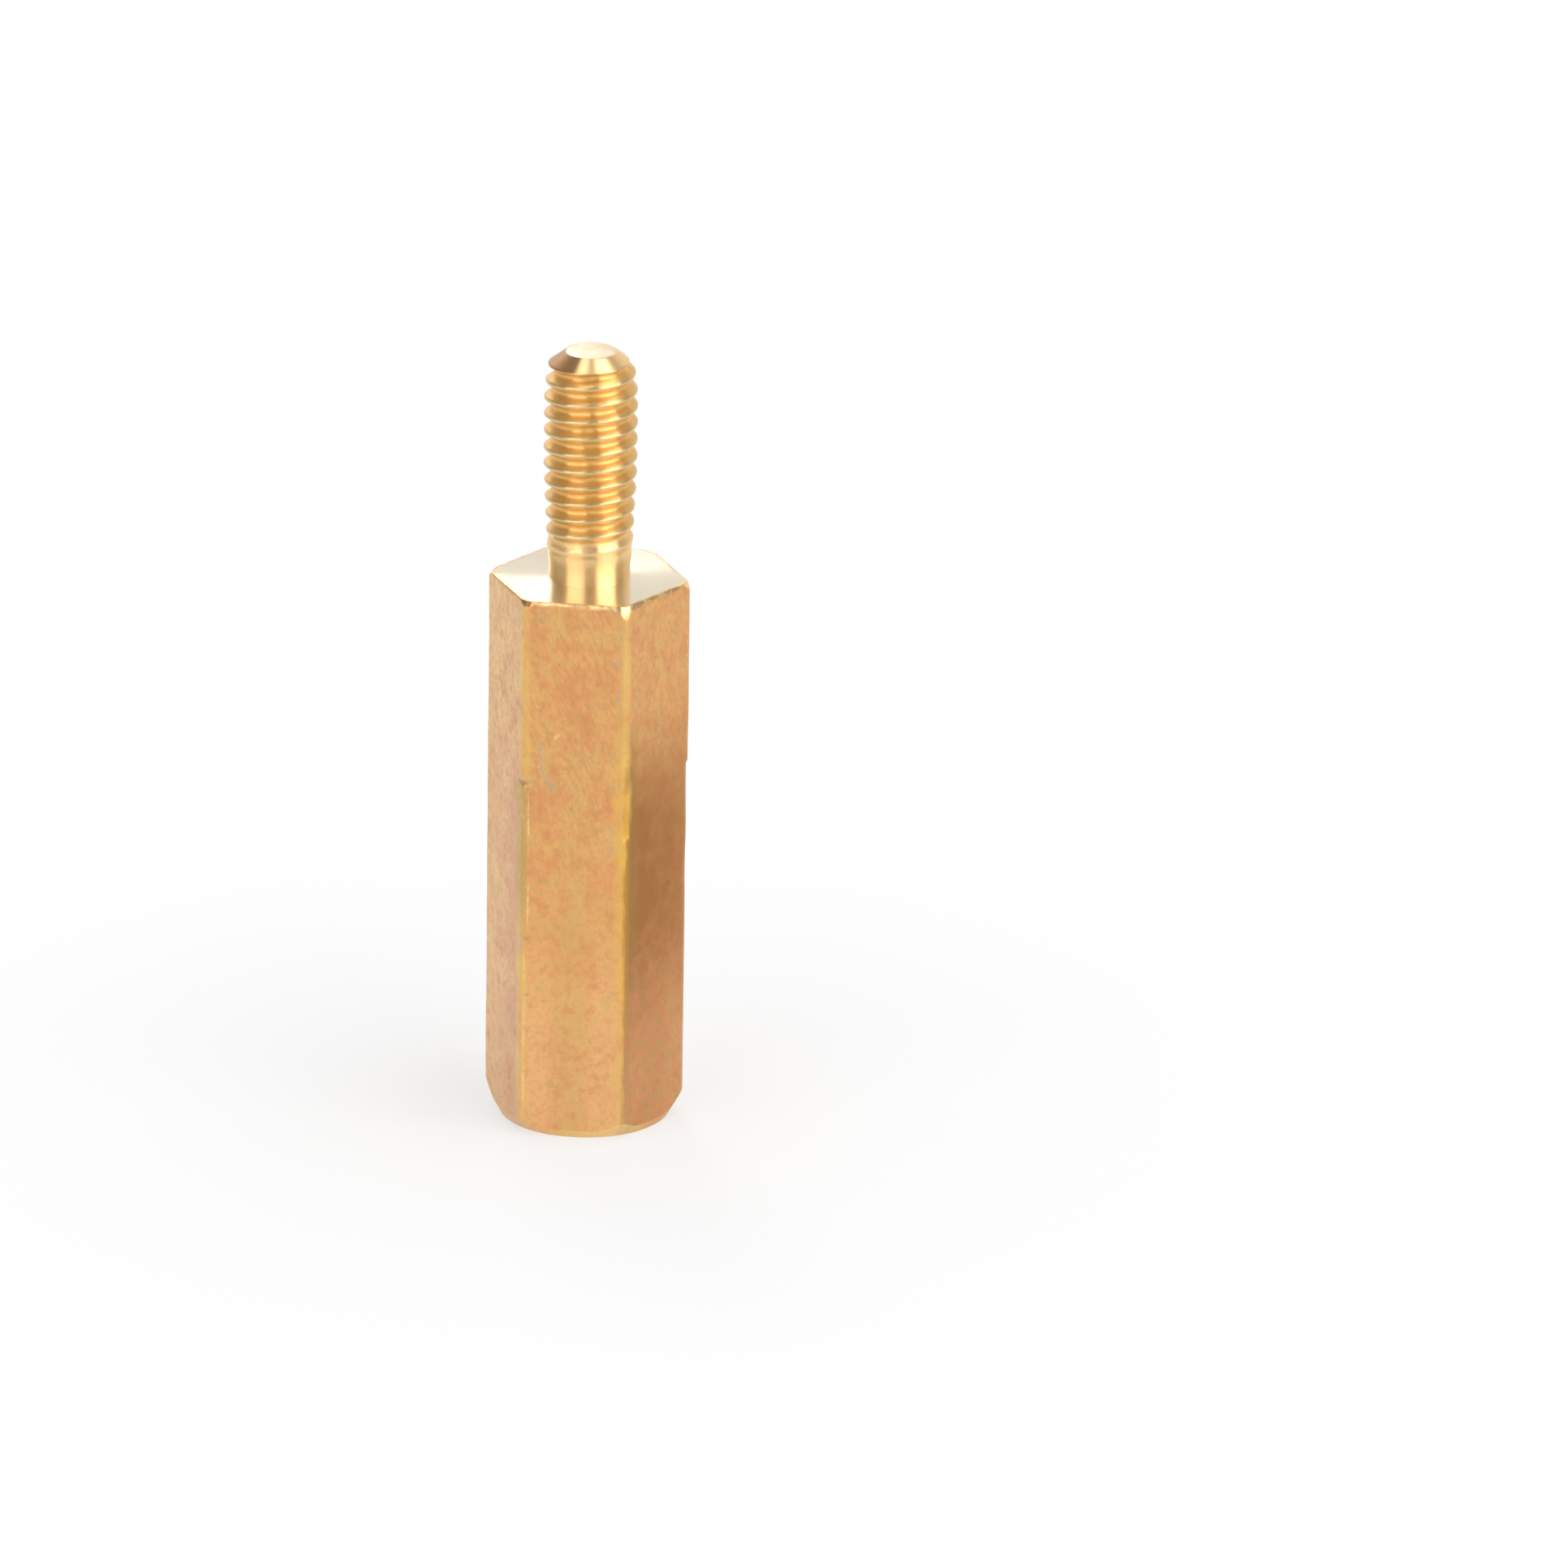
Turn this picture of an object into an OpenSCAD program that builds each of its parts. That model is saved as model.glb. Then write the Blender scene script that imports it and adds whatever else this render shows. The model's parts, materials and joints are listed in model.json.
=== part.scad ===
// Male-female hexagonal standoff, turned from one brass bar.
// The origin is the centre of the foot, where the tapped hole opens. +Z runs up the axis to the stud.

/* [Body] */
// Distance across the flats of the hexagonal bar
across_flats = 4.6; // [4.4:0.1:5]
// Length of the hexagonal body, from the foot to the shoulder
body_len = 14.7; // [12:0.1:30]
// Radius of the drawn bar's six long edges
edge_r = 0.3; // [0.1:0.05:0.5]

/* [Foot] */
// How far in from the hexagon's corners the foot's turned chamfer reaches
foot_cut = 0.41; // [0.3:0.01:0.45]
// Height of the foot's chamfer at the corners
foot_chamfer_h = 0.74; // [0.4:0.02:1]

/* [Shoulder] */
// How far in from the hexagon's corners the shoulder's turned chamfer reaches
shoulder_cut = 0.12; // [0.05:0.01:0.3]
// Height of the shoulder's chamfer at the corners
shoulder_chamfer_h = 0.3; // [0.1:0.05:0.6]

/* [Stud] */
// Length of the stud, from the shoulder to its tip
stud_len = 6.1; // [6:0.1:12]
// Outer diameter of the stud over its thread crests
stud_crest_d = 2.42; // [2.38:0.01:2.48]
// Diameter of the plain neck below the thread
neck_d = 2.12; // [1.9:0.02:2.18]
// Length of the plain neck, from the shoulder to the first thread
neck_len = 0.6; // [0.4:0.05:1]
// Diameter over the first, shallow crests
first_crest_d = 2.22; // [2.2:0.02:2.36]
// Height over which the first crest rises from the neck
run_out_len = 0.2; // [0.1:0.05:0.3]
// Height over which the crests grow to their full diameter
taper_len = 2.2; // [0.5:0.1:2.4]
// Diameter of the flat on the stud's tip
tip_flat_d = 1.32; // [1:0.02:1.6]
// Diameter at the wide end of the tip's short cone
tip_cone_d = 2.24; // [1.8:0.02:2.3]
// Height of the tip's short cone
tip_cone_h = 0.34; // [0.2:0.01:0.4]
// Height below that cone over which the last crests taper in
lead_in_len = 0.8; // [0.3:0.05:1]

/* [Tapped hole] */
// Diameter of the tapped hole over its thread crests
tap_minor_d = 2.05; // [1.98:0.01:2.12]
// Depth of the tapped hole from the foot, without the drill point
hole_depth = 9; // [5:0.5:11]
// Diameter of the countersink where it meets the foot ring
sink_d = 3.86; // [3:0.02:4]
// Whole angle of the countersink's cone
sink_angle = 90; // [82:1:120]
// Whole angle of the drill point at the end of the hole
drill_angle = 118; // [90:1:140]

/* [Hidden] */
$fn = 96;
// Amount by which a cutting shape runs past the face it opens
over = 0.1;
// Amount by which the round of each long edge crosses the two flats beside it
edge_overlap = 0.005;
// Distances from the axis to the sharp corner, to the centre of the edge's round, and to its crest
sharp_corner_r = across_flats / 2 / cos(30);
edge_centre_r = (across_flats / 2 - edge_r) / cos(30);
corner_r = edge_centre_r + edge_r + edge_overlap;
// Outer radii of the flat foot ring and of the shoulder's face
foot_ring_r = corner_r - foot_cut;
shoulder_ring_r = corner_r - shoulder_cut;
// Heights at which the chamfers' cones pass the sharp corners
foot_clear_z = foot_chamfer_h * (sharp_corner_r - foot_ring_r) / foot_cut;
shoulder_clear_z = body_len - shoulder_chamfer_h * (sharp_corner_r - shoulder_ring_r) / shoulder_cut;
// Depths of the countersink and of the drill point
sink_depth = (sink_d - tap_minor_d) / 2 / tan(sink_angle / 2);
drill_point_h = tap_minor_d / 2 / tan(drill_angle / 2);
// Heights of the first crest and of the stud's tip
first_crest_z = body_len + neck_len + run_out_len;
top_z = body_len + stud_len;

// The bar's cross-section: a hexagon, less what lies past the round at each of its corners.
module hexagon_outline() {
    intersection() {
        circle(r = sharp_corner_r, $fn = 6);
        union() {
            for (turn = [0 : 60 : 120])
                rotate(turn)
                    square([edge_centre_r, 2 * across_flats], center = true);
            for (turn = [0 : 60 : 300])
                rotate(turn)
                    translate([edge_centre_r, 0])
                        circle(r = edge_r + edge_overlap);
        }
    }
}

// The bar turned down at both ends: what is left stays inside this round shape.
module turned_envelope() {
    rotate_extrude()
        polygon([
            [0, 0],
            [foot_ring_r, 0],
            [sharp_corner_r, foot_clear_z],
            [sharp_corner_r, shoulder_clear_z],
            [shoulder_ring_r, body_len],
            [0, body_len]
        ]);
}

// The stud over its thread crests: neck, growing crests, full crests, lead-in and coned tip.
module stud() {
    rotate_extrude()
        polygon([
            [0, body_len - over],
            [neck_d / 2, body_len - over],
            [neck_d / 2, body_len + neck_len],
            [first_crest_d / 2, first_crest_z],
            [stud_crest_d / 2, first_crest_z + taper_len],
            [stud_crest_d / 2, top_z - tip_cone_h - lead_in_len],
            [tip_cone_d / 2, top_z - tip_cone_h],
            [tip_flat_d / 2, top_z],
            [0, top_z]
        ]);
}

// The tapped hole at its thread crests, with its countersink and drill point.
module tapped_hole() {
    translate([0, 0, -over])
        cylinder(d = tap_minor_d, h = hole_depth + over);
    rotate_extrude()
        polygon([
            [0, -over],
            [sink_d / 2 + over * tan(sink_angle / 2), -over],
            [tap_minor_d / 2, sink_depth],
            [0, sink_depth]
        ]);
    translate([0, 0, hole_depth])
        cylinder(r1 = tap_minor_d / 2, r2 = 0, h = drill_point_h);
}

module standoff() {
    color("#d9a864")
        difference() {
            union() {
                intersection() {
                    linear_extrude(height = body_len)
                        hexagon_outline();
                    turned_envelope();
                }
                stud();
            }
            tapped_hole();
        }
}

standoff();
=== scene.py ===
import json
import math

import bmesh
import bpy
import numpy as np
from mathutils import Matrix, Vector


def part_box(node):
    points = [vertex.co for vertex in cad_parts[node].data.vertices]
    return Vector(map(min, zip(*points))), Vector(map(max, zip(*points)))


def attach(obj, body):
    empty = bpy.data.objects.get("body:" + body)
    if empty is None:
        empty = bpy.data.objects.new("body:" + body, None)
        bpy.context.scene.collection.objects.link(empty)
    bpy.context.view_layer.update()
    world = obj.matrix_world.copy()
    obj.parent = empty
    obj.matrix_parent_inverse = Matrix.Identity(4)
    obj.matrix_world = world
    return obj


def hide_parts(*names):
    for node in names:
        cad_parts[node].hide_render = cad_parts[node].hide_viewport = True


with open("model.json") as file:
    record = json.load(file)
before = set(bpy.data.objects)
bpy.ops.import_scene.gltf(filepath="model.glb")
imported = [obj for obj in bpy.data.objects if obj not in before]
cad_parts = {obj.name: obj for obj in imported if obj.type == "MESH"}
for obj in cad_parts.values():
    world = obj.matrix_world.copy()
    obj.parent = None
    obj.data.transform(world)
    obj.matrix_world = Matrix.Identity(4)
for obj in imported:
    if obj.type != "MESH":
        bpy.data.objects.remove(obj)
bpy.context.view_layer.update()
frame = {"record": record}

mm = 0.001                                # every size below is written in millimetres times this
degree = math.pi / 180
fullTurn = 2 * math.pi
sixth = 60 * degree                       # from one edge of the hexagon to the next
twelfth = 30 * degree                     # from an edge to the middle of a flat

# Driving sizes, read from the frame: the standoff's box and the mounts of its record
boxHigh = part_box("standoff")[1]
mounts = {mount["name"]: mount for mount in frame["record"]["mounts"]}
halfFlats = boxHigh.y                     # the flats' normals are +Y, -Y and every 60 degrees on
tipZ = boxHigh.z
shoulderZ = mounts["shoulder"]["pos_m"][2]
crestRadius = mounts["stud"]["dims"]["r_mm"] * mm
holeRadius = mounts["tapped_hole"]["dims"]["r_mm"] * mm

print("standoff: box", tuple(round(v / mm, 3) for v in boxHigh))

# The finishes of the standoff's faces, in the order of its materials
drawn, turned, threaded, faced, tipFaced = range(5)

# What a user would change in the standoff's shape. Edges are listed from +X, anticlockwise seen from above.
standoff = {
    "columns": 180,                       # grid columns around the axis
    "cornerCrowding": 0.6,                # how strongly the columns crowd towards the six edges
    # long edges: radii above and below a small step, and height of that step, in mm
    "edgeRadiusTop": (0.25, 0.3, 0.35, 0.35, 0.32, 0.26),
    "edgeRadiusFoot": (0.5, 0.35, 0.25, 0.35, 0.16, 0.14),
    "edgeStepZ": (9.75, 8.0, 10.5, 7.2, 9.65, 8.3),
    "edgeStepLength": 0.12 * mm,
    # how much rounder each edge grows towards the foot, in mm, and the heights between which it does
    "edgeFootGrowth": (0, 0, 0, 0, 0, 0.25),
    "footGrowthZ": (0.4 * mm, 3.2 * mm),
    "edgeUneven": 0.16,                   # share by which the edges' radii wander
    # nick in the fifth edge
    "nickTurn": 240 * degree,
    "nickZ": 9.7 * mm,
    "nickHalfHeight": 0.09 * mm,
    "nickHalfWidth": 0.2 * mm,
    "nickDepth": 0.015 * mm,
    # body
    "bodyRows": 88,
    "stepCrowding": 2.5,                  # how many times more rows are added beside an edge's step
    "stepReach": 0.3 * mm,                # and how far from it
    # shoulder
    "shoulderRing": 2.505 * mm,           # radius that the shoulder's chamfer leaves of the corners
    "shoulderOffset": 0.035 * mm,         # how far that chamfer is off centre, and towards which turn
    "shoulderOffsetTurn": 300 * degree,
    "shoulderSlopes": (3.0, 2.5, 2.0, 1.3, 2.5, 4.6),   # chamfer's height at each edge, over its cut
    "rimBreak": 0.042 * mm,               # broken edge of the shoulder along the flats
    "rimRound": 0.01 * mm,                # rounding where that meets the chamfer
    "rimUneven": (0.2, 0.14),             # shares by which its cut wanders, in slow and quick waves
    "rimInside": 0.2 * mm,                # how far inside the rim its rounding may reach
    "shoulderFall": 0.03 * mm,            # how much the shoulder's face falls from the neck to its rim
    "shoulderRows": 15,
    # foot
    "footRing": 2.21 * mm,
    "footOffset": 0.05 * mm,              # how far the foot's chamfer is off centre, and towards which turn
    "footOffsetTurn": 285 * degree,
    "footSlopes": (1.8, 1.8, 1.8, 1.8, 1.1, 1.3),   # chamfer's height at each edge, over its cut
    "footBreak": 0.05 * mm,               # broken edge of the foot along the flats
    "footBreakRound": 0.02 * mm,
    "footBand": 0.19 * mm,                # least height of the foot's chamfer
    "footBandRound": 0.1 * mm,
    "footRows": (0.25, 0.5, 0.75),
    "turnedRound": 0.035 * mm,            # rounding where two faces of the profile meet
    # stud
    "neckRadius": 1.05 * mm,
    "neckFillet": 0.005 * mm,
    "neckRows": 9,
    "filletRows": 5,
    "threadPitch": 0.45 * mm,
    "studTurns": 12,
    # the thread's form, in shares of the pitch: half width of its crest and of its root, rounding of each
    "crestHalf": 0.09,
    "rootHalf": 0.12,
    "crestRound": 0.17,
    "rootRound": 0.2,
    # where the rows lie between one crest and the next, in shares of the pitch
    "studRows": (0, 0.05, 0.09, 0.12, 0.16, 0.21, 0.27, 0.32, 0.36, 0.4, 0.45,
                 0.5, 0.55, 0.6, 0.64, 0.68, 0.73, 0.79, 0.84, 0.88, 0.91, 0.95),
    "studDepth": 0.19 * mm,
    "crestZ": 18.865 * mm,                # height of one crest on the +X side
    "crestGrowth": (0.35, 0.85, 3.0),     # mm above the shoulder: end of the neck, first crest, full crest
    "firstCrest": 1.11 * mm,
    "runOut": (0.55, 1.8),                # mm above the shoulder: where the groove starts and is full
    "crestWave": 0.012 * mm,              # how far the thread's crests wander in and out
    "crestWaveDepth": 0.02 * mm,          # groove depth at which they wander fully
    "tipFlat": 0.66 * mm,                 # radius of the tip's face, then of its cone's wide end
    "tipConeRadius": 1.12 * mm,
    "tipConeHeight": 0.34 * mm,
    "tipLeadIn": 0.8 * mm,
    "tipConeRound": 0.02 * mm,
    "tipCrown": 0.02 * mm,                # how much the tip's face falls to its rim
    "tipRows": (0, 0.12, 0.3, 0.5, 0.7, 0.85, 0.95),
    # tapped hole
    "sinkRadius": 1.93 * mm,              # radius at the foot of the countersink, a 90 degree cone
    "sinkRound": 0.03 * mm,
    "sinkRows": (0.15, 0.35, 0.55, 0.75, 0.9),
    "holeDepth": 9.0 * mm,
    "holeTurns": 18.5,
    "holeCrestZ": 0.1 * mm,
    "holeRows": (0, 0.12, 0.34, 0.5, 0.66, 0.88),
    "holeThreadDepth": 0.22 * mm,
    "holeRunOut": (0.9 * mm, 0.1 * mm),   # below the hole's end: where its thread starts to fade and ends
    "drillAngle": 59 * degree,            # half of the drill point's angle
    "drillRows": (0.1, 0.4, 0.7, 1),
}


# Smooth noise from about -1 to 1 that closes round the axis: a sum of sines of the turn and the height,
# with 0 to 13 waves round the axis, up to one wave along each pitch, and seeded phases
def ripple(turn, height, seed, waves, pitch):
    random = np.random.default_rng(seed)
    total = np.zeros(np.broadcast(turn, height).shape)
    for _ in range(waves):
        around = random.integers(0, 14)
        along = random.uniform(-1, 1) * fullTurn / pitch
        total = total + np.sin(around * turn + along * height + random.uniform(0, fullTurn))
    return total / math.sqrt(waves) / 1.6     # 1.6 brings the usual peaks to 1


# The larger of two values, with a rounded change-over about as wide as blend
def softMax(a, b, blend):
    return (a + b + np.sqrt((a - b) ** 2 + blend ** 2)) / 2


# The smaller of two values, rounded in the same way
def softMin(a, b, blend):
    return -softMax(-a, -b, blend)


# 0 below low, 1 above high, and an S curve between them
def smoothStep(value, low, high):
    t = np.clip((value - low) / (high - low), 0, 1)
    return t * t * (3 - 2 * t)


# Rises from 0 to 1 between the first two limits, and falls back to 0 between the last two
def window(value, riseLow, riseHigh, fallLow, fallHigh):
    return smoothStep(value, riseLow, riseHigh) * (1 - smoothStep(value, fallLow, fallHigh))


# Two sets of columns: even ones for the round parts, and ones that crowd towards the hexagon's edges
share = np.linspace(0, 6, standoff["columns"] + 1)
sector = np.floor(np.minimum(share, 5.999999))   # the last column stays in the sixth sector
within = (share - sector) * 2 - 1         # -1 at one edge, 0 in the middle of a flat, 1 at the next edge
crowd = standoff["cornerCrowding"]
warped = (1 - crowd) * within + crowd * np.sin(within * math.pi / 2)
evenTurn = share * sixth
hexTurn = (sector + 0.5) * sixth + warped * twelfth
level = np.zeros_like(evenTurn)           # added to a number, it makes a whole row of it


# Number of the nearest long edge, from 0 at +X to 5
def nearestEdge(turn):
    return np.round(turn / sixth).astype(int) % 6


# Radius of the nearest long edge: one value above its step and one below, plus its growth at the foot,
# made uneven
def edgeRadius(turn, height):
    s = standoff
    edge = nearestEdge(turn)
    top = np.take(s["edgeRadiusTop"], edge) * mm
    foot = np.take(s["edgeRadiusFoot"], edge) * mm
    step = np.take(s["edgeStepZ"], edge) * mm
    half = s["edgeStepLength"] / 2
    mixed = foot + (top - foot) * smoothStep(height, step - half, step + half)
    growth = np.take(s["edgeFootGrowth"], edge) * mm
    mixed = mixed + growth * (1 - smoothStep(height, *s["footGrowthZ"]))
    return mixed * (1 + s["edgeUneven"] * ripple(turn, height, seed=5, waves=9, pitch=1.6 * mm))


# Distance from the axis to a hexagon's side, or to the circle that rounds its corner, along a turn
def hexRadius(turn, rounding):
    fromNormal = np.abs(np.mod(turn, sixth) - twelfth)
    centre = (halfFlats - rounding) / math.cos(twelfth)
    fromCorner = twelfth - fromNormal
    inside = np.maximum(rounding ** 2 - (centre * np.sin(fromCorner)) ** 2, 0)
    arc = centre * np.cos(fromCorner) + np.sqrt(inside)
    side = halfFlats / np.cos(fromNormal)
    tangent = np.arctan2(centre / 2, halfFlats)
    return np.where(fromNormal > tangent, arc, side)


# The hexagon with its rounded edges, less one small nick in an edge: a bell curve across and along it
def barRadius(turn, height):
    s = standoff
    around = (turn - s["nickTurn"]) * halfFlats / s["nickHalfWidth"]
    along = (height - s["nickZ"]) / s["nickHalfHeight"]
    return hexRadius(turn, edgeRadius(turn, height)) - s["nickDepth"] * np.exp(-around ** 2 - along ** 2)


# Heights of a grid whose rows climb one pitch each turn along the crest that passes crestZ, cut off level
# at both ends
def helixHeights(low, high, crestZ, shares):
    pitch = standoff["threadPitch"]
    turns = np.arange(math.floor((low - crestZ) / pitch) - 1, math.ceil((high - crestZ) / pitch) + 1)
    steps = (turns[:, None] + np.array(shares)[None, :]).reshape(-1, 1)
    climb = crestZ + pitch * (steps + evenTurn / fullTurn)
    between = (climb.max(axis=1) > low) & (climb.min(axis=1) < high)
    return np.vstack([low + level, np.clip(climb[between], low, high), high + level])


# How many turns of the thread a point is above a crest, where the crests climb one pitch each turn
def threadPhase(turn, height, crestZ):
    return (height - crestZ) / standoff["threadPitch"] - turn / fullTurn


# Thread form: 0 on a crest and 1 in a root, with straight flanks and rounded corners
def groove(turn, height, crestZ):
    s = standoff
    phase = threadPhase(turn, height, crestZ)
    fromCrest = np.abs(phase - np.round(phase))
    flank = (fromCrest - s["crestHalf"]) / (0.5 - s["crestHalf"] - s["rootHalf"])
    return softMin(softMax(flank, 0, s["crestRound"]), 1, s["rootRound"])


# Radius over the crests: plain neck, growing crests, full crests, and the taper below the tip's cone
def studCrest(height):
    s = standoff
    neckEnd, firstCrest, fullCrest = (v * mm for v in s["crestGrowth"])
    coneZ = tipZ - s["tipConeHeight"]
    return np.interp(
        height,
        [shoulderZ + neckEnd, shoulderZ + firstCrest, shoulderZ + fullCrest, coneZ - s["tipLeadIn"], coneZ],
        [s["neckRadius"], s["firstCrest"], crestRadius, crestRadius, s["tipConeRadius"]],
    )


# How deep the stud's thread is cut: its groove, which runs out at the neck
def studGroove(turn, height):
    s = standoff
    low, high = (v * mm for v in s["runOut"])
    return s["studDepth"] * smoothStep(height - shoulderZ, low, high) * groove(turn, height, s["crestZ"])


# Radius of the tip's cone, which cuts across the last turns of the thread
def tipCone(height):
    s = standoff
    slope = (s["tipConeRadius"] - s["tipFlat"]) / s["tipConeHeight"]
    return s["tipFlat"] + (tipZ - s["tipCrown"] - height) * slope


# Crests less the thread's groove, a little uneven, inside the tip's cone
def studRadius(turn, height):
    s = standoff
    cut = studGroove(turn, height)
    wave = s["crestWave"] * ripple(turn, height, seed=31, waves=14, pitch=0.6 * mm)
    radius = studCrest(height) - cut + wave * np.minimum(cut / s["crestWaveDepth"], 1)
    return softMin(radius, tipCone(height) + s["tipConeRound"] / 2, s["tipConeRound"])


# The tapped hole: its minor radius plus the thread's groove, opened by the countersink's cone
def boreRadius(turn, height):
    s = standoff
    fadeLow, fadeHigh = (s["holeDepth"] - v for v in s["holeRunOut"])
    fade = 1 - smoothStep(height, fadeLow, fadeHigh)
    radius = holeRadius + s["holeThreadDepth"] * fade * (1 - groove(turn, height, s["holeCrestZ"]))
    return softMax(radius, s["sinkRadius"] - height, s["sinkRound"])


# Rows of a quadratic curve that cuts a profile's corner; each point is a pair of arrays, radius and height
def roundedCorner(before, corner, after, reach, steps=4):
    rows = []
    toBefore = [b - c for b, c in zip(before, corner)]
    toAfter = [a - c for a, c in zip(after, corner)]
    # a curve takes up less than half of each side, and no side counts as shorter than 1e-9
    shareBefore, shareAfter = (
        np.minimum(reach / np.maximum(np.hypot(*side), 1e-9), 0.45) for side in (toBefore, toAfter))
    start = [c + d * shareBefore for c, d in zip(corner, toBefore)]
    end = [c + d * shareAfter for c, d in zip(corner, toAfter)]
    for t in np.linspace(0, 1, steps + 1):
        points = zip(start, corner, end)
        rows.append([(1 - t) ** 2 * s + 2 * t * (1 - t) * c + t * t * e for s, c, e in points])
    return rows


# A value listed for the six edges, mixed in proportion between one edge and the next
def edgeBlend(turn, values):
    return np.interp(np.mod(turn, fullTurn), np.arange(7) * sixth, [*values, values[0]])


# Radius of the foot: a circle slightly off centre, and inside the flats by the broken edge
def footRing(turn):
    s = standoff
    circle = s["footRing"] + s["footOffset"] * np.cos(turn - s["footOffsetTurn"])
    return softMin(circle, barRadius(turn, 0 * turn) - s["footBreak"], s["footBreakRound"])


# Height of the foot's chamfer: its cut times its slope, and nowhere less than a narrow band
def chamferHeight(turn):
    s = standoff
    cut = barRadius(turn, 0 * turn) - footRing(turn)
    return softMax(cut * edgeBlend(turn, s["footSlopes"]), s["footBand"], s["footBandRound"])


# How far the shoulder's rim is cut in: to a circle slightly off centre or by the broken edge, unevenly
def rimCut(bar):
    s = standoff
    circle = s["shoulderRing"] + s["shoulderOffset"] * np.cos(hexTurn - s["shoulderOffsetTurn"])
    slow, quick = s["rimUneven"]
    uneven = 1 + slow * ripple(hexTurn, level, seed=3, waves=12, pitch=1)
    uneven = uneven + quick * ripple(hexTurn * 6, level, seed=4, waves=12, pitch=1)
    return softMax(bar - circle, s["rimBreak"], s["rimRound"]) * uneven


# Row of the grid: whole arrays of turn, radius and height, and the finish
def gridRow(turn, radius, height, finish):
    return turn + level, radius + level, height + level, finish


# Tip and stud: a nearly flat face, the thread in helical rows, then the neck and its fillet
def studRows():
    s = standoff
    rimZ = tipZ - s["tipCrown"]
    rim = studRadius(evenTurn, rimZ)
    lowZ = rimZ - s["studTurns"] * s["threadPitch"]
    rows = []
    for part in s["tipRows"]:
        rows.append(gridRow(evenTurn, part * rim, tipZ - s["tipCrown"] * part ** 4, tipFaced))
    for height in helixHeights(lowZ, rimZ, s["crestZ"], s["studRows"])[::-1]:
        rows.append(gridRow(evenTurn, studRadius(evenTurn, height), height, threaded))
    for height in np.linspace(lowZ, shoulderZ + s["neckFillet"], s["neckRows"] + 1)[1:]:
        rows.append(gridRow(evenTurn, studRadius(evenTurn, height + level), height, turned))
    for angle in np.linspace(0, 90, s["filletRows"] + 1)[1:] * degree:
        radius = s["neckRadius"] + s["neckFillet"] * (1 - math.cos(angle))
        height = shoulderZ + s["neckFillet"] * (1 - math.sin(angle))
        rows.append(gridRow(evenTurn, radius, height, turned))
    return rows


# Shoulder's face, from the fillet to the rim, while the columns slide from even to crowded
def shoulderRows(rimRadius):
    s = standoff
    inner = s["neckRadius"] + s["neckFillet"]
    rows = []
    for part in np.linspace(0, 1, s["shoulderRows"] + 2)[1:-1]:
        turn = evenTurn + (hexTurn - evenTurn) * part
        radius = inner + (rimRadius - inner) * part
        rows.append(gridRow(turn, radius, shoulderZ - s["shoulderFall"] * part ** 1.5, faced))
    return rows


# Shares of the body's length at which its rows lie: even ones that crowd where an edge has its step
def bodyShares():
    s = standoff
    spot = np.linspace(0, 1, 2001)
    density = 1
    for step in s["edgeStepZ"]:
        away = (shoulderZ * (1 - spot) - step * mm) / s["stepReach"]
        density = density + s["stepCrowding"] * np.exp(-away ** 2)
    filled = np.cumsum(density)
    return np.interp(np.linspace(filled[0], filled[-1], s["bodyRows"]), filled, spot)[1:-1]


# All below the stud as one profile with rounded corners: shoulder, chamfer, body, chamfer, foot and hole
def barRows():
    s = standoff
    bar = barRadius(hexTurn, shoulderZ + level)
    cut = rimCut(bar)
    rimZ = shoulderZ - s["shoulderFall"] + level
    chamferLow = shoulderZ - cut * edgeBlend(hexTurn, s["shoulderSlopes"])
    chamferTop = chamferHeight(hexTurn)
    boreLowZ = s["holeDepth"] - s["holeTurns"] * s["threadPitch"]

    rim = (bar - cut, rimZ)
    face = (rim[0] - s["rimInside"], rimZ)
    high = (barRadius(hexTurn, chamferLow), chamferLow)
    low = (barRadius(hexTurn, chamferTop), chamferTop)
    ring = (footRing(hexTurn), level)
    mouth = (s["sinkRadius"] + level, level)
    bore = (boreRadius(evenTurn, boreLowZ + level), boreLowZ + level)
    profile = [face, rim, high, low, ring, mouth, bore]
    threes = zip(profile, profile[1:], profile[2:])
    corners = [roundedCorner(*points, s["turnedRound"]) for points in threes]
    rimCorner, aboveBody, belowBody, footCorner, mouthCorner = corners
    bodyTop, bodyFoot = aboveBody[-1][1], belowBody[0][1]
    bodyHeights = [bodyTop + (bodyFoot - bodyTop) * part for part in bodyShares()]
    body = [(barRadius(hexTurn, height), height) for height in bodyHeights]

    rows = shoulderRows(rim[0])
    rows += [gridRow(hexTurn, *point, turned) for point in rimCorner + aboveBody[:1]]
    rows += [gridRow(hexTurn, *point, drawn) for point in aboveBody[1:] + body + belowBody + footCorner]
    for part in s["footRows"]:
        turn = hexTurn + (evenTurn - hexTurn) * part
        outer = footRing(turn)
        rows.append(gridRow(turn, outer + (s["sinkRadius"] - outer) * part, level, turned))
    rows += [gridRow(evenTurn, *point, turned) for point in mouthCorner]
    for part in s["sinkRows"]:
        rows.append(gridRow(evenTurn, mouth[0] + (bore[0] - mouth[0]) * part, boreLowZ * part, turned))
    for height in helixHeights(boreLowZ, s["holeDepth"], s["holeCrestZ"], s["holeRows"]):
        rows.append(gridRow(evenTurn, boreRadius(evenTurn, height), height, threaded))
    pointHeight = holeRadius / math.tan(s["drillAngle"])
    for part in s["drillRows"]:
        rows.append(gridRow(evenTurn, holeRadius * (1 - part), s["holeDepth"] + pointHeight * part, turned))
    return rows


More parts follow.
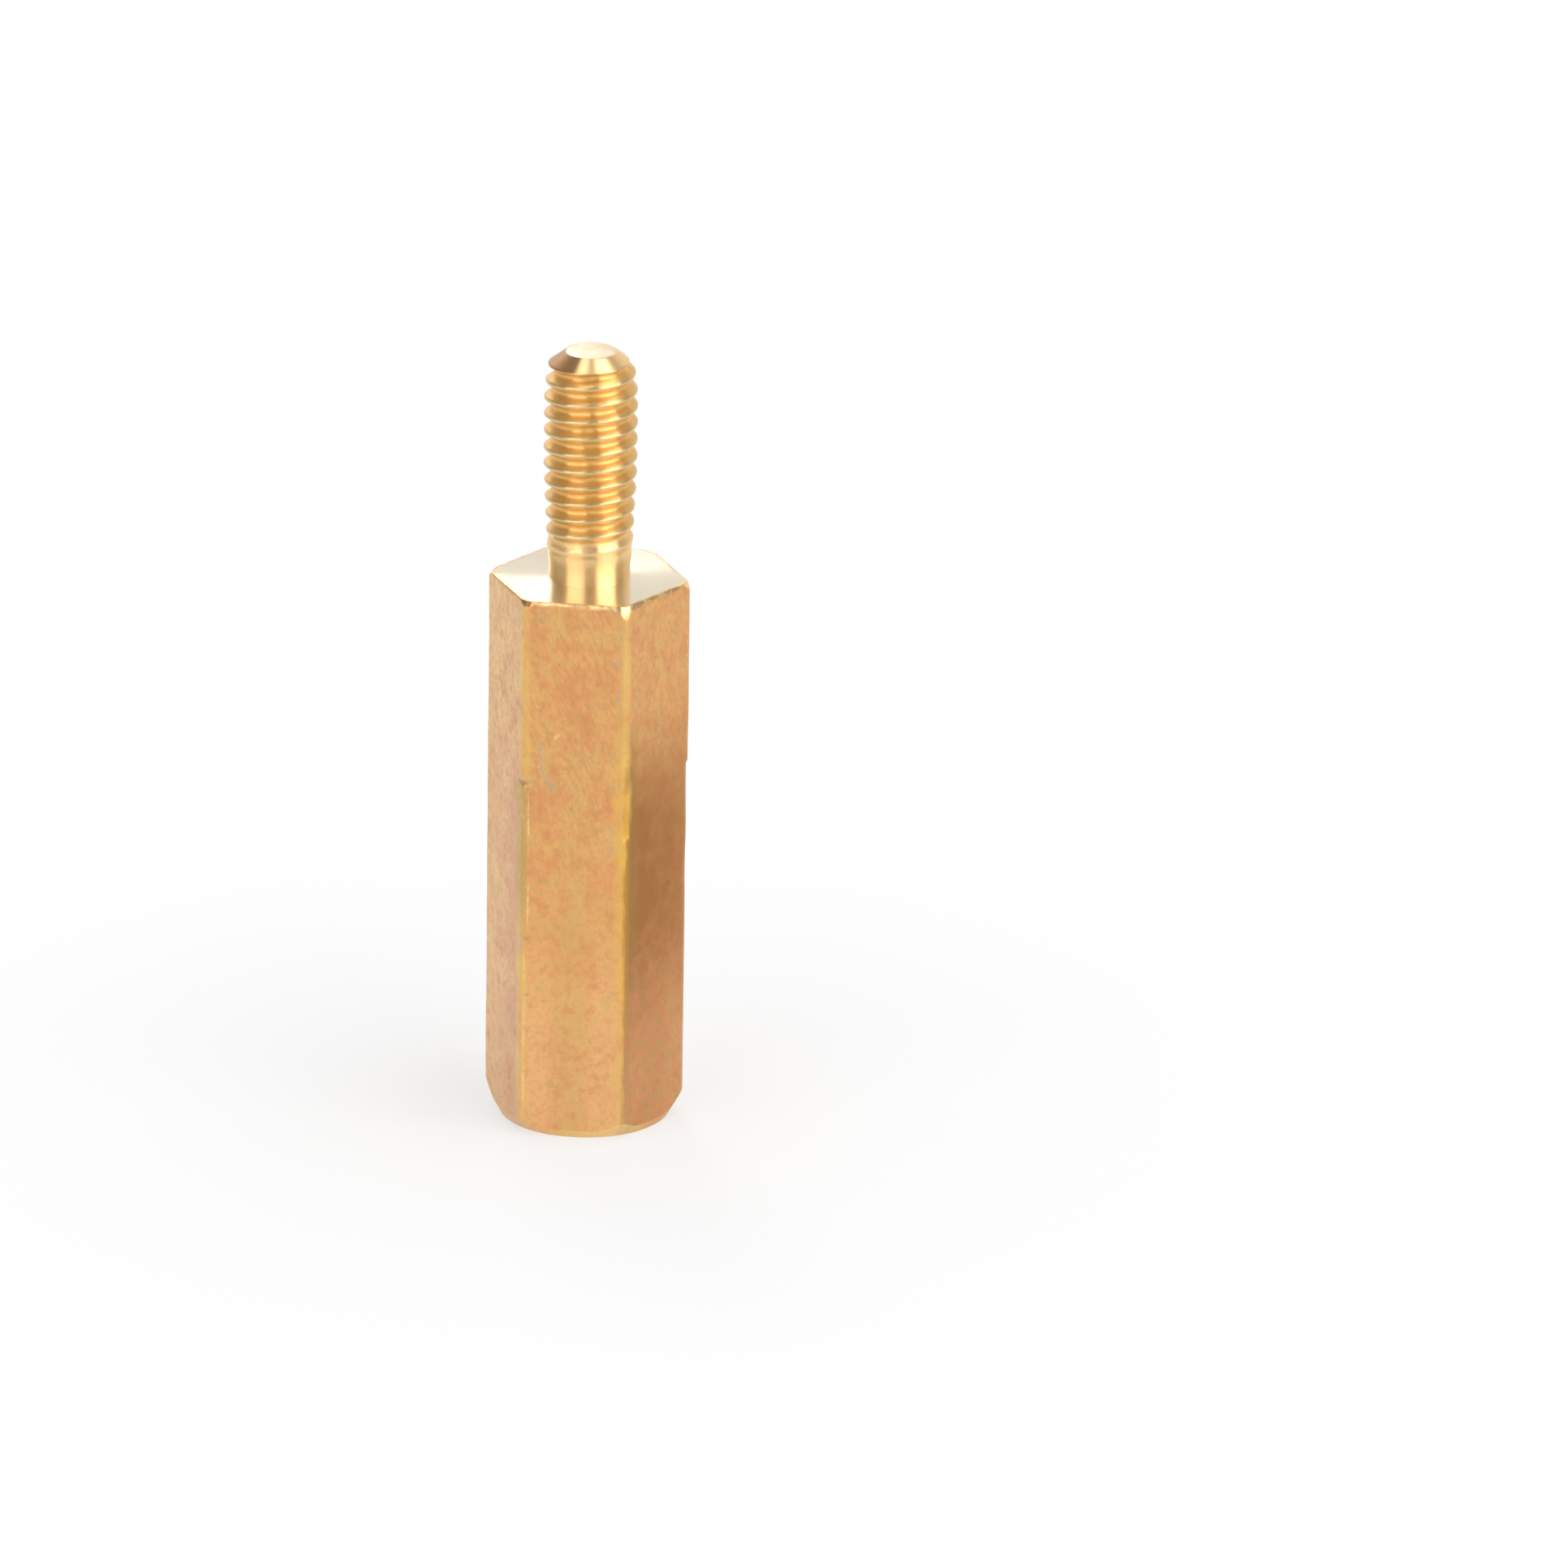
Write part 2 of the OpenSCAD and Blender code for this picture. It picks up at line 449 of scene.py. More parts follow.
# What a user would change in the standoff's wear. Limits of a window are where it starts and ends its rise,
# then where it starts and ends its fall.
wear = {
    # worn stripe along each edge: heights in mm, and how far it reaches to either side at each of them
    "stripeHeights": (0, 3.4, 6.5, 8.25, 8.35, 9.55, 9.7, 12.3, 14.6),
    "stripeBefore": {4: (0.30, 0.32, 0.36, 0.38, 0.38, 0.39, 0.27, 0.25, 0.22),
                     5: (0.22, 0.15, 0.17, 0.24, 0.29, 0.28, 0.22, 0.14, 0.09)},
    "stripeAfter": {4: (0.10, 0.10, 0.09, 0.09, 0.09, 0.09, 0.18, 0.12, 0.08),
                    5: (0.08, 0.04, 0.03, 0.05, 0.20, 0.20, 0.20, 0.18, 0.15)},
    "stripePlain": 0.13,                  # how far it reaches to either side on the other edges
    "stripeWear": (0.25, 0.7, 0.7, 0.35, 1.0, 1.0),
    "stripeWander": 0.035,                # mm by which its sides wander
    "stripeCrisp": (0.035, 0.025),        # mm over which its first and its second side fade, halved
    "stripeSoft": (0.12, 0.09),           # the same for a side towards the front flat
    "stripeRub": (0.85, 0.5, 0.5),        # usual rubbing along it, how much that varies, and the least
    # foot's chamfer, worn and partly painted light: turn at which it is brightest; least tone, how much
    # more there, and how narrowly
    "chamferTurn": 290 * degree,
    "chamferWear": (0.35, 0.4, 6),
    "chamferShine": (0.12, 0.34, 8),      # the same for its paler tone, a painted highlight
    # flats from the one at 30 degrees on: tone from orange (0) to cream (1), and share of the dark patina
    # and painted shade
    # the paler cream and pink of the left flats are painted light, as if lit from the left
    "flatTones": (0.3, 0.0, 0.7, 1.0, 0.0, 0.05),
    # on the last flat this share is painted shade, a dark reflection; on the others it is patina
    "flatPatina": (0.3, 0.0, 0.2, 0.0, 0.0, 1.0),
    "patinaWindow": (1.8 * mm, 6.4 * mm, 7.8 * mm, 11.8 * mm),
    "patinaTop": (8.5 * mm, 13 * mm),
    "patinaShares": (0.5, 0.62),          # below that top, and more inside the window
    "patinaFall": 0.12,                   # how much it weakens over each half of its flat
    # brown fringe beside the last edge: the edge's turn, mm past the edge, and heights
    "fringeTurn": 300 * degree,
    "fringeAside": (-0.02, 0.06, 0.08, 0.26),
    "fringeZ": (1.5 * mm, 4 * mm, 8.5 * mm, 11 * mm),
    # painted shade in the nick: strength, mm past its edge, and distances above or below it between which
    # it fades
    "nickShade": 0.65,
    "nickAside": (-0.32, -0.22, 0.05, 0.11),
    "nickFade": (0.04 * mm, 0.1 * mm),
    # painted brown shade along the shoulder's rim: inner radius of that rim, turns, and how far below the
    # shoulder the shade starts
    "rimInner": 2.1 * mm,
    "rimTurns": (182 * degree, 200 * degree, 242 * degree, 247 * degree),
    "rimDrop": (0.04 * mm, 0.06 * mm),
    # painted shade on the side of the tip's cone: middle of its bright side, and the window of turns before
    # that
    "coneTurn": 278 * degree,
    "coneShade": (19 * degree, 27 * degree, 120 * degree, 160 * degree),
    "underFlank": (0.08, 0.18, 0.46, 0.5),   # turns of the thread below a crest
}


# How far a stripe reaches to one side, in mm: its listed reaches mixed by height, or the plain one
def stripeReach(edge, height, reaches):
    reach = np.full(edge.shape, wear["stripePlain"])
    for number, values in reaches.items():
        reach = np.where(edge == number, np.interp(height / mm, wear["stripeHeights"], values), reach)
    return reach


# Worn stripe along each long edge: 1 in it and 0 on the flats, soft towards the front flat and crisp on
# the other side, and rubbed unevenly along its length
def stripe(turn, radius, height):
    w = wear
    edge = nearestEdge(turn)
    aside = (np.mod(turn + twelfth, sixth) - twelfth) * radius / mm
    before = stripeReach(edge, height, w["stripeBefore"])
    after = stripeReach(edge, height, w["stripeAfter"])
    wander = w["stripeWander"] * ripple(turn * 0, height, seed=11, waves=9, pitch=0.8 * mm)
    riseHalf = np.where(edge == 5, w["stripeSoft"][0], w["stripeCrisp"][0])
    fallHalf = np.where(edge == 4, w["stripeSoft"][1], w["stripeCrisp"][1])
    moreWander = 1 + 8 * riseHalf         # a soft side wanders further
    rise = smoothStep((aside + before + wander * moreWander) / riseHalf, -1, 1)
    fall = smoothStep((aside - after + wander) / fallHalf, -1, 1)
    usual, varied, least = w["stripeRub"]
    rubbed = usual + varied * ripple(turn * 0, height, seed=23, waves=9, pitch=0.7 * mm)
    return np.take(w["stripeWear"], edge) * rise * (1 - fall) * np.clip(rubbed, least, 1)


# Tone of the foot's chamfer, worn and partly painted light, brightest at one turn: a base plus a share
# times a power of the cosine
def brightest(turn, base, more, power):
    return base + more * np.maximum(np.cos(turn - wear["chamferTurn"]), 0) ** power


# Masks of the drawn bar, by name: worn edges and painted light on the chamfer, tone of a flat with painted
# light and way across it, patina and painted shade, fringe and painted shade in the nick
def barMasks(turn, radius, height, finish):
    w = wear
    onBar = finish == drawn
    onChamfer = height < chamferHeight(turn)
    # on the foot's chamfer this is partly painted light, elsewhere the worn stripes
    wearAndLight = np.where(onChamfer, brightest(turn, *w["chamferWear"]), stripe(turn, radius, height))
    flat = np.floor(np.mod(turn, fullTurn - 1e-6) / sixth).astype(int) % 6   # a full turn counts as 0
    across = np.where(onBar, np.mod(turn, sixth) / twelfth - 1, 0)
    # the patina and painted shade start gradually below, and are strongest in the middle of the bar
    below, middle = w["patinaShares"]
    patina = below * (1 - smoothStep(height, *w["patinaTop"])) + middle * window(height, *w["patinaWindow"])
    patina = patina * (1 - w["patinaFall"] * (across + 1))
    pastFringe = (turn - w["fringeTurn"]) * radius / mm
    pastNick = (turn - standoff["nickTurn"]) * radius / mm
    nickHeight = 1 - smoothStep(np.abs(height - standoff["nickZ"]), *w["nickFade"])
    return {
        "edgeMask": np.where(onBar, wearAndLight, 0),
        "lens": np.where(onBar & onChamfer, brightest(turn, *w["chamferShine"]), 0),
        "flatTone": np.take(w["flatTones"], flat),
        "across": across,
        "patina": np.take(w["flatPatina"], flat) * patina,
        "fringe": window(pastFringe, *w["fringeAside"]) * window(height, *w["fringeZ"]),
        "nick": w["nickShade"] * window(pastNick, *w["nickAside"]) * nickHeight,
    }


# Masks of the turned faces and the thread, by name: depth in the groove, flank below a crest, painted
# shade, beads
def turnedMasks(turn, radius, height, finish, onCone):
    w, s = wear, standoff
    onThread = (finish == threaded) & ~onCone
    onStud = height > shoulderZ
    studDepth = studGroove(turn, height) / s["studDepth"]
    depth = np.where(onStud, studDepth, (radius - holeRadius) / s["holeThreadDepth"])
    phase = threadPhase(turn, height, s["crestZ"])
    underFlank = window(np.round(phase) - phase, *w["underFlank"])
    onRim = (finish == turned) & (radius > w["rimInner"]) & (height > shoulderZ / 2)
    paintedRimShade = window(turn, *w["rimTurns"]) * smoothStep(shoulderZ - height, *w["rimDrop"])
    fromBright = np.mod(turn - w["coneTurn"] + math.pi, fullTurn) - math.pi
    coneShade = window(-fromBright, *w["coneShade"])
    return {
        "rootMask": np.where(onThread, np.clip(depth, 0, 1), 0),
        "underFlank": np.where(onThread & onStud, underFlank, 0),
        "rimShade": np.where(onCone, coneShade, np.where(onRim, paintedRimShade, 0)),
        "rimBeads": np.where(onRim, 1.0, 0),
    }


# Adds an object that holds the given data to the scene
def addObject(data):
    made = bpy.data.objects.new(data.name, data)
    bpy.context.scene.collection.objects.link(made)
    return made


# The grid as a mesh: each row's points at its turn, radius and height, one face for each cell of the grid
# with the finish of the row it leads to, and the masks as point attributes
def buildStandoff():
    rows = studRows() + barRows()
    turn, radius, height = (np.array([row[k] for row in rows]) for k in range(3))
    finish = np.array([row[3] for row in rows])[:, None]
    points = np.stack([radius * np.cos(turn), radius * np.sin(turn), height], axis=-1)
    index = np.arange(turn.size).reshape(turn.shape)
    quads = np.stack([index[:-1, :-1], index[1:, :-1], index[1:, 1:], index[:-1, 1:]], axis=-1)
    onCone = (finish == threaded) & (height > shoulderZ)
    onCone = onCone & (studCrest(height) - studGroove(turn, height) > tipCone(height))

    mesh = bpy.data.meshes.new("brassStandoff")
    mesh.from_pydata(points.reshape(-1, 3).tolist(), [], quads.reshape(-1, 4).tolist())
    faceFinish = np.where(onCone, turned, finish)[1:, 1:].ravel()
    mesh.polygons.foreach_set("material_index", faceFinish.astype(np.int32))
    masks = barMasks(turn, radius, height, finish) | turnedMasks(turn, radius, height, finish, onCone)
    for name, values in masks.items():
        layer = mesh.attributes.new(name, "FLOAT", "POINT")
        layer.data.foreach_set("value", values.astype(np.float32).ravel())

    # Merging doubles closes the seam and the poles
    work = bmesh.new()
    work.from_mesh(mesh)
    bmesh.ops.remove_doubles(work, verts=work.verts, dist=1e-8)
    bmesh.ops.recalc_face_normals(work, faces=work.faces)
    loose = [vert for vert in work.verts if not vert.link_faces]
    bmesh.ops.delete(work, geom=loose, context="VERTS")
    for face in work.faces:
        face.smooth = True
    work.to_mesh(mesh)
    work.free()
    triangles = sum(len(p.vertices) - 2 for p in mesh.polygons)
    print("standoff: mesh with", len(mesh.vertices), "points and", triangles, "triangles")
    return addObject(mesh)


# A material being wired: each method adds one node, or a few, and returns the output
class Finish:
    def __init__(self, name, owner=None):
        self.material = owner or bpy.data.materials.new(name)
        self.material.use_nodes = True
        self.tree = self.material.node_tree
        self.tree.nodes.clear()
        self.place = self.node("ShaderNodeTexCoord").outputs["Object"]

    def node(self, kind, inputs=None, **settings):
        made = self.tree.nodes.new(kind)
        for key, value in settings.items():
            setattr(made, key, value)
        for key, value in (inputs or {}).items():
            self.feed(made.inputs[key], value)
        return made

    # Links an output, or sets a value; a colour of three numbers gets its fourth
    def feed(self, socket, value):
        if isinstance(value, bpy.types.NodeSocket):
            self.tree.links.new(value, socket)
        elif socket.type == "RGBA":
            socket.default_value = (*value, 1.0)
        else:
            socket.default_value = value

    def math(self, operation, a, b=0.0, clamp=False):
        made = self.node("ShaderNodeMath", operation=operation, use_clamp=clamp)
        self.feed(made.inputs[0], a)
        self.feed(made.inputs[1], b)
        return made.outputs[0]

    def product(self, first, *others):
        for other in others:
            first = self.math("MULTIPLY", first, other)
        return first

    def greatest(self, first, *others):
        for other in others:
            first = self.math("MAXIMUM", first, other)
        return first

    def mask(self, name):
        return self.node("ShaderNodeAttribute", attribute_name=name).outputs["Fac"]

    def axes(self):
        return self.node("ShaderNodeSeparateXYZ", {"Vector": self.place}).outputs

    # Coordinates that lean about Y and then stretch, so that noise of scale 1 has these sizes in mm
    def stretched(self, sizes, lean):
        made = self.node("ShaderNodeMapping", {
            "Vector": self.place, "Scale": [size * mm for size in sizes], "Rotation": (0, lean, 0)},
            vector_type="TEXTURE")
        return made.outputs["Vector"]

    def noise(self, scale, detail=3.0, roughness=0.5, vector=None, distortion=0.0):
        made = self.node("ShaderNodeTexNoise", {
            "Vector": vector or self.place, "Scale": scale, "Detail": detail,
            "Roughness": roughness, "Distortion": distortion})
        return made.outputs["Fac"]

    def between(self, value, low, high, outLow=0.0, outHigh=1.0, smooth=False):
        made = self.node("ShaderNodeMapRange", {
            "Value": value, "From Min": low, "From Max": high, "To Min": outLow, "To Max": outHigh},
            interpolation_type="SMOOTHSTEP" if smooth else "LINEAR")
        return made.outputs["Result"]

    def mix(self, share, a, b):
        made = self.node("ShaderNodeMix", {"Factor": share, "A": a, "B": b}, data_type="RGBA")
        return made.outputs["Result"]

    # 1 inside a soft leaning ellipse on a face towards -Y, and 0 outside it; its sizes are in mm
    def spot(self, x, z, atX, atZ, wide, tall, lean, wobble):
        up = self.math("SUBTRACT", z, atZ * mm)
        across = self.math("ADD", self.math("SUBTRACT", x, atX * mm), wobble)
        across = self.math("SUBTRACT", across, self.product(up, lean))
        across = self.math("DIVIDE", across, wide * mm)
        up = self.math("DIVIDE", up, tall * mm)
        distance = self.math("ADD", self.product(across, across), self.product(up, up))
        return self.between(distance, 0.3, 1.4, 1, 0, smooth=True)

    def bump(self, height, distance, strength=1.0, **more):
        made = self.node("ShaderNodeBump", {
            "Height": height, "Distance": distance, "Strength": strength, **more})
        return made.outputs["Normal"]

    def metal(self, colour, roughness, normal, **more):
        shader = self.node("ShaderNodeBsdfPrincipled", {
            "Base Color": colour, "Roughness": roughness, "Metallic": 1.0, "Normal": normal, **more})
        self.node("ShaderNodeOutputMaterial", {"Surface": shader.outputs["BSDF"]})
        return self.material


# What a user would change in the drawn bar's finish
drawnFinish = {
    # orange flats
    "orange": (0.79, 0.38, 0.15),
    "amber": (0.77, 0.44, 0.16),
    "rust": (0.66, 0.29, 0.12),
    "olive": (0.66, 0.43, 0.16),
    "peach": (0.84, 0.46, 0.21),
    "sidePeach": (0.92, 0.52, 0.24),
    # pale flats, their paleness painted light from the left
    "cream": (0.84, 0.57, 0.29),
    "pink": (0.74, 0.44, 0.27),
    # grain
    "streak": (0.42, 0.29, 0.16),
    "speck": (0.48, 0.26, 0.11),
    # dark patina and painted shade
    "patina": (0.385, 0.162, 0.048),
    "oliveBrown": (0.36, 0.20, 0.06),
    "oliveGrey": (0.42, 0.30, 0.14),
    "red": (0.66, 0.26, 0.145),
    "fringe": (0.62, 0.30, 0.05),
    # worn edges, and the foot's chamfer with painted light
    "edge": (0.78, 0.505, 0.15),
    "edgeGold": (0.86, 0.50, 0.09),
    "edgeBrown": (0.56, 0.36, 0.12),
    # colour of the painted shade in the nick
    "nickBrown": (0.34, 0.20, 0.07),
    # painted highlight on the foot's chamfer
    "lens": (0.93, 0.70, 0.33),
    # heights between which each of these sets in
    "streakZ": (6.5 * mm, 10 * mm),
    "grainZ": (5.5 * mm, 9 * mm),
    "peachZ": (5 * mm, 2 * mm),
    "sidePeachZ": (6 * mm, 4 * mm),
    "middleOliveZ": (9 * mm, 6 * mm),
    "pinkZ": (12.5 * mm, 8.5 * mm),
    "redZ": (6 * mm, 2 * mm),
    "oliveBrownZ": (0.5 * mm, 6.5 * mm),
    # heights between which the dull and the golden stretch of an edge end, at the top and towards the foot
    "dullTop": (9.65 * mm, 9.6 * mm),
    "dullFoot": (4.8 * mm, 6.8 * mm),
    "goldTop": (10.5 * mm, 9.5 * mm),
    "goldFoot": (2 * mm, 4 * mm),
    # colours of the marks
    "steel": (0.48, 0.41, 0.31),
    # bright also paints glints on the worn edges
    "bright": (0.90, 0.64, 0.27),
    "roughness": (0.38, 0.48),            # from one tone of the clouds to the other
    "wobble": 0.05 * mm,                  # how far the outlines of the marks wander
    "frontFlat": (-2.2 * mm, -2.25 * mm),   # y between which a point comes to count as on the front flat
    # marks on the front flat in mm: x and z of the middle, half width, half height, and lean towards +X
    "scratches": (
        (-0.82, 10.35, 0.07, 0.55, -0.10),
        (-0.62, 9.72, 0.08, 0.30, -0.60),
        (1.17, 13.9, 0.06, 0.22, 0.0),
        (1.16, 13.1, 0.05, 0.20, 0.0),
        (1.15, 12.2, 0.07, 0.26, 0.1),
        (0.45, 11.9, 0.09, 0.05, -0.8),
        (1.0, 8.3, 0.05, 0.55, 0.05),
    ),
    "brightLines": (
        (-1.17, 8.6, 0.035, 0.9, 0.0),
        (-1.17, 6.4, 0.035, 0.7, 0.0),
        (-1.25, 4.6, 0.035, 0.45, 0.0),
        (-1.25, 3.0, 0.035, 0.8, 0.0),
        (-1.25, 1.4, 0.04, 0.6, 0.0),
        (-0.45, 11.05, 0.06, 0.09, 0.6),
    ),
    # painted shade in pits, the first in the nick: x and z of the middle, half width, half height; then the
    # strength
    "pits": (
        (-1.25, 9.70, 0.09, 0.06, 0.6),
        (-0.80, 7.05, 0.13, 0.09, 0.3),
        (-0.54, 1.45, 0.12, 0.12, 0.3),
        (-1.17, 3.9, 0.07, 0.05, 0.5),
        (-1.22, 5.45, 0.06, 0.05, 0.6),
        (0.02, 7.6, 0.05, 0.05, 0.3),
        (-0.9, 14.2, 0.25, 0.10, 0.25),
    ),
}


# Noise patterns of the drawn bar: each is a scale or a set of sizes, its detail and its roughness
def drawnPatterns(f):
    return {
        "clouds": f.noise(1100, 4, 0.6),
        "patches": f.noise(1, 3, 0.5, f.stretched((0.42, 0.42, 0.8), 0), 0.6),
        "mottle": f.noise(2700, 4, 0.6),
        "blotches": f.noise(2900, 4, 0.68),
        "streaks": f.noise(1, 3, 0.6, f.stretched((0.22, 0.22, 0.75), -24 * degree), 0.9),
        "fine": f.noise(1, 4, 0.65, f.stretched((0.07, 0.07, 0.26), -18 * degree), 0.4),
        "specks": f.noise(6500, 3, 0.6),
    }


# Orange flats: amber clouds, slanting rust streaks, rust and olive patches, and peach towards the foot;
# in the lower half also olive along the middle of a flat and lighter peach beside it
def orangeFlats(f, p, z, streaked):
    d = drawnFinish
    colour = f.mix(f.between(p["clouds"], 0.4, 0.62), d["orange"], d["amber"])
    colour = f.mix(f.product(streaked, 0.75), colour, d["rust"])
    colour = f.mix(f.between(p["patches"], 0.52, 0.7, 0, 0.5), colour, d["rust"])
    colour = f.mix(f.between(p["patches"], 0.48, 0.3, 0, 0.4), colour, d["olive"])
    colour = f.mix(f.between(z, *d["peachZ"], 0, 0.45), colour, d["peach"])
    aside = f.math("ABSOLUTE", f.math("ADD", f.mask("across"), 0.05))
    middle = f.product(f.between(z, *d["middleOliveZ"]), f.between(aside, 0.4, 0.15, 0, 0.3, smooth=True))
    sides = f.product(f.between(aside, 0.3, 0.6, 0, 0.4, smooth=True), f.between(z, *d["sidePeachZ"]))
    return f.mix(sides, f.mix(middle, colour, d["olive"]), d["sidePeach"])


# Pale flats, whose paleness is painted light from the left: cream at one side and pink at the other,
# pinker in the lower half, with faint rust streaks
def paleFlats(f, p, z, streaked):
    d = drawnFinish
    side = f.math("ADD", f.product(f.mask("across"), 0.45), f.between(p["clouds"], 0.3, 0.7, -0.1, 0.9))
    side = f.math("ADD", side, f.between(z, *d["pinkZ"], -0.35, 0.3), clamp=True)
    return f.mix(f.product(streaked, 0.4), f.mix(side, d["cream"], d["pink"]), d["rust"])


# Grain over all flats: rust and olive mottle, slanting streaks that are weaker below, and specks
def drawnGrain(f, p, z, colour):
    d = drawnFinish
    slanting = f.product(f.between(p["fine"], 0.48, 0.8, 0, 0.6), f.between(z, *d["grainZ"], 0.35, 1))
    colour = f.mix(f.between(p["mottle"], 0.5, 0.68, 0, 0.55), colour, d["rust"])
    colour = f.mix(f.between(p["mottle"], 0.48, 0.32, 0, 0.5), colour, d["olive"])
    colour = f.mix(slanting, colour, d["streak"])
    return f.mix(f.between(p["specks"], 0.52, 0.76, 0, 0.42), colour, d["speck"])


# Dark patina and painted shade of one flat, the painted shade being a dark reflection on the last flat:
# brown, olive beside its first edge, redder and blotchy towards the foot
def darkPatinaAndShade(f, p, y, z, colour):
    d = drawnFinish
    patina, across = f.mask("patina"), f.mask("across")
    dark = f.mix(f.between(across, -0.9, -0.5, 0.9, 0), d["patina"], d["oliveBrown"])
    dark = f.mix(f.between(p["patches"], 0.5, 0.7, 0, 0.2), dark, d["red"])
    dark = f.mix(f.between(p["mottle"], 0.48, 0.34, 0, 0.4), dark, d["oliveBrown"])
    colour = f.mix(f.product(patina, f.between(p["clouds"], 0.3, 0.7, 1.15, 0.85)), colour, dark)
    low = f.product(patina, f.between(z, *d["redZ"]))
    colour = f.mix(f.product(low, f.between(p["blotches"], 0.44, 0.6, 0, 1.1)), colour, d["red"])
    colour = f.mix(f.product(low, f.between(p["blotches"], 0.46, 0.35, 0, 0.7)), colour, d["oliveGrey"])
    byEdge = f.product(f.between(across, -0.98, -0.6, 0.75, 0), f.between(y, 0, -0.5 * mm))
    byEdge = f.product(byEdge, f.between(patina, 0.1, 0.4), f.between(z, *d["oliveBrownZ"], 0.15, 1))
    colour = f.mix(byEdge, colour, d["oliveBrown"])
    return f.mix(f.product(f.mask("fringe"), 0.55), colour, d["fringe"])


# Worn edges: rubbed bright in patches with painted glints, golden on the right and dull below the nick on
# the left, then the painted shade in the nick and the painted highlight on the chamfer. Returns the colour
# and how worn it is, with the chamfer's painted light counted in.
def wornEdgesAndPaintedLight(f, p, x, z, colour):
    d = drawnFinish
    edge = f.mask("edgeMask")
    dull = f.product(f.between(x, 0, -0.5 * mm), f.between(z, *d["dullTop"]), f.between(z, *d["dullFoot"]))
    golden = f.product(f.between(x, 0, 0.5 * mm), f.between(z, *d["goldTop"]))
    golden = f.product(golden, f.between(z, *d["goldFoot"], 0, 0.8))
    rubbed = f.mix(dull, f.mix(golden, d["edge"], d["edgeGold"]), d["edgeBrown"])
    # painted glints: bright specks on the worn edges
    rubbed = f.mix(f.between(p["specks"], 0.6, 0.7, 0, 0.6), rubbed, d["bright"])
    wearAndLight = f.product(edge, f.between(p["patches"], 0.35, 0.6, 0.45, 1.0))
    wearAndLight = f.product(wearAndLight, f.between(p["specks"], 0.3, 0.6, 1.0, 0.75))
    wearAndLight = f.greatest(wearAndLight, f.product(dull, edge))
    colour = f.mix(wearAndLight, colour, rubbed)
    colour = f.mix(f.mask("nick"), colour, d["nickBrown"])
    return f.mix(f.mask("lens"), colour, d["lens"]), wearAndLight


# Marks on the front flat: grey scratches, bright lines, painted pit shade; each the greatest of its soft
# ellipses
def frontMarks(f, p, x, y, z, colour):
    d = drawnFinish
    facing = f.between(y, *d["frontFlat"])
    wobble = f.between(p["mottle"], 0.2, 0.8, -d["wobble"], d["wobble"])
    tremble = f.product(wobble, 0.5)
    scratched = f.greatest(*[f.spot(x, z, *mark, wobble) for mark in d["scratches"]])
    bright = f.greatest(*[f.spot(x, z, *mark, tremble) for mark in d["brightLines"]])
    pits = [f.product(f.spot(x, z, *shape, 0.0, wobble), strength) for *shape, strength in d["pits"]]
    scratched = f.product(scratched, facing, f.between(p["specks"], 0.35, 0.6, 0.1, 0.45))
    bright = f.product(bright, facing, f.between(p["specks"], 0.42, 0.6, 0.1, 0.7))
    colour = f.mix(scratched, colour, d["steel"])
    colour = f.mix(bright, colour, d["bright"])
    return f.mix(f.product(f.greatest(*pits), facing), colour, d["streak"])


# Drawn bar with a thin patina: orange to cream by flat with painted light, then grain, dark patina and
# painted shade, worn edges with painted glints, shade and highlight, and marks
def drawnBrass():
    f = Finish("drawnBrass")
    p = drawnPatterns(f)
    x, y, z = f.axes()
    streaked = f.product(f.between(p["streaks"], 0.45, 0.7), f.between(z, *drawnFinish["streakZ"], 0.1, 1))
    colour = f.mix(f.mask("flatTone"), orangeFlats(f, p, z, streaked), paleFlats(f, p, z, streaked))
    colour = drawnGrain(f, p, z, colour)
    colour = darkPatinaAndShade(f, p, y, z, colour)
    colour, wearAndLight = wornEdgesAndPaintedLight(f, p, x, z, colour)
    colour = frontMarks(f, p, x, y, z, colour)
    rough = f.between(p["clouds"], 0.3, 0.7, *drawnFinish["roughness"])
    rough = f.math("ADD", rough, f.product(wearAndLight, -0.1))
    normal = f.bump(p["fine"], 0.0012 * mm)
    normal = f.bump(p["specks"], 0.002 * mm, Normal=normal)
    return f.metal(colour, rough, normal)


# Direction across the turning marks: the surface normal crossed with the way round the axis
def meridian(f):
    roundAxis = f.node("ShaderNodeVectorMath", {0: (0, 0, 1), 1: f.place}, operation="CROSS_PRODUCT")
    normal = f.node("ShaderNodeNewGeometry").outputs["Normal"]
    across = f.node("ShaderNodeVectorMath", {0: normal, 1: roundAxis.outputs[0]}, operation="CROSS_PRODUCT")
    return across.outputs[0]


# What a user would change in the other finishes: clouds mix the two base colours, marks are the scale,
# depth and strength of the turning marks, and stretch is how strongly highlights run across them
turnedFinish = {
    "base": ((0.90, 0.60, 0.275), (0.92, 0.64, 0.325)),
    "skin": (0.45, 0.25, 0.11),           # brown of the painted shade on the rim and the tip's cone, and of the beads along the rim
    "roughness": 0.34,
    "stretch": 0.7,
    "marks": (9000, 0.0008 * mm, 0.6),
}
facedFinish = {
    # pale cream colours, a painted reflection of bright light
    "base": ((0.86, 0.73, 0.54), (0.89, 0.79, 0.62)),
    "roughness": 0.22,
    "stretch": 0.85,
    "marks": (6000, 0.0006 * mm, 0.5),
}
tipFinish = {
    # pale cream colours, a painted reflection of bright light
    "base": ((0.73, 0.56, 0.37), (0.83, 0.69, 0.50)),
    "roughness": 0.36,
    "clouds": (0.004 * mm, 0.6),          # their depth and strength
}
